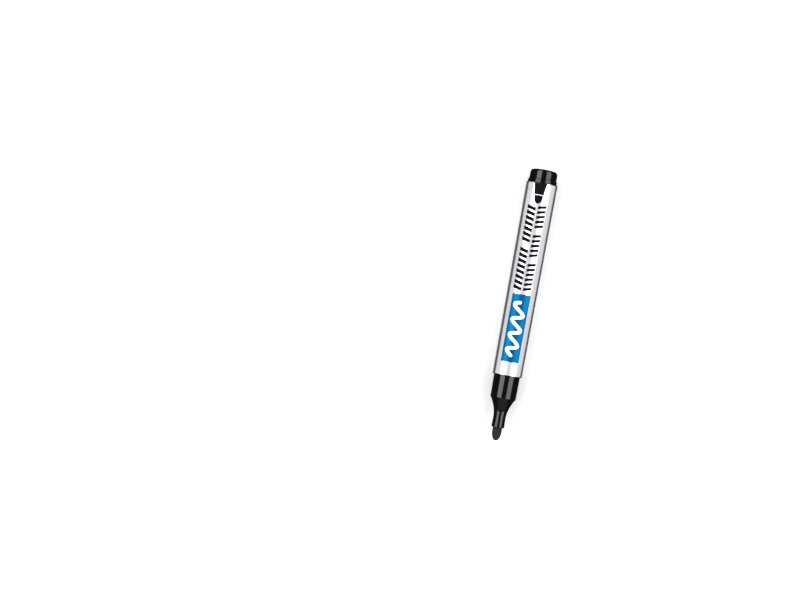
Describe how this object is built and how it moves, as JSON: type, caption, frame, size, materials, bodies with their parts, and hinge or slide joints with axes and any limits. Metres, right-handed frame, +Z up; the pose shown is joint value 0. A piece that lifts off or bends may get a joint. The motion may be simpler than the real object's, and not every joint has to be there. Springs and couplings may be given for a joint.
{
  "type": "whiteboard marker",
  "caption": "Bullet-tip dry-erase marker: tapered barrel in printed silver foil, black tail plug and nose, and a ribbed pull-off cap with an anti-roll lug.",
  "frame": {"origin": "midway along and across the whole as it lies, cap off, on the surface it lies on", "axes": "+X along the marker's axis from the nib towards the tail plug; +Z up, the side of the barrel with the printed panel faces +Z"},
  "size_m": [0.2452, 0.0168, 0.0156],
  "materials": {
    "barrel_plastic": "moulded gloss",
    "silver_foil": "printed metallised film, satin",
    "plug_plastic": "moulded gloss",
    "nose_plastic": "moulded gloss",
    "nib_fibre": "bonded fibre, inked black",
    "core_fibre": "ink-soaked fibre",
    "clear_film": "clear film",
    "cap_plastic": "moulded gloss",
    "liner_plastic": "moulded satin"
  },
  "bodies": {
    "marker": {"barrel": "barrel_plastic", "foil_label": "silver_foil", "tail_plug": "plug_plastic", "front_section": "nose_plastic", "nib": "nib_fibre", "ink_reservoir": "core_fibre", "reservoir_film": "clear_film"},
    "cap": {"cap_shell": "cap_plastic", "cap_liner": "liner_plastic"}
  },
  "joints": [
    {"name": "cap_pull", "type": "slide", "parent": "marker", "child": "cap", "axis": [1, 0, 0], "range_m": [0, 0.1112]}
  ]
}
